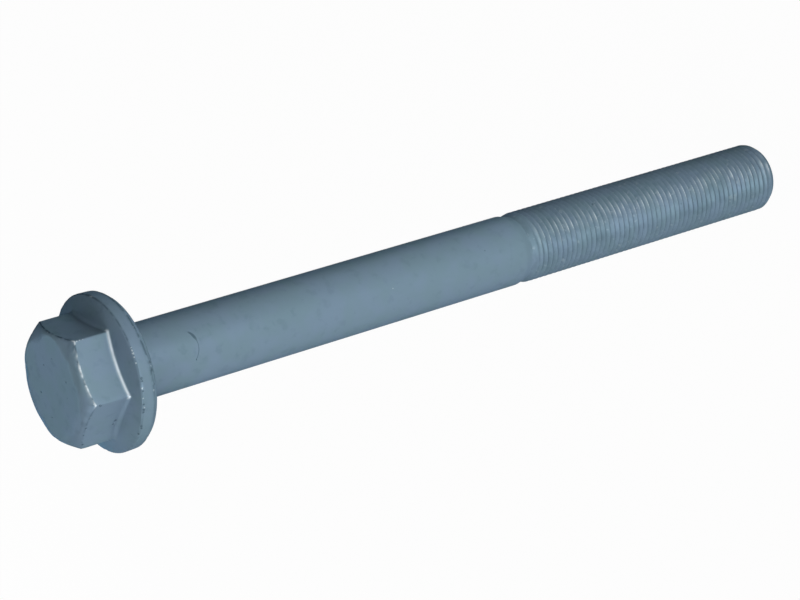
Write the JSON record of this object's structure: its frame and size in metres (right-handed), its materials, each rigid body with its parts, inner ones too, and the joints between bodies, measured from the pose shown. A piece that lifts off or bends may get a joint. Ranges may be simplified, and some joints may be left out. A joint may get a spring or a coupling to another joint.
{
  "type": "flange bolt",
  "caption": "Long hex flange bolt with a plain shank, a relief neck and a fine thread down to a chamfered point, forged in one piece.",
  "frame": {"origin": "centre of the bearing face under the flange, on the bolt's axis", "axes": "+Z along the bolt's axis towards the head, with the thread hanging below the origin; +X through one corner of the hexagon"},
  "size_m": [0.033, 0.033, 0.1921],
  "materials": {
    "zinc_plate": "satin blue-grey zinc plate over steel, with faint dents and smudges"
  },
  "bodies": {
    "root": {"flange_bolt": "zinc_plate"}
  },
  "joints": []
}
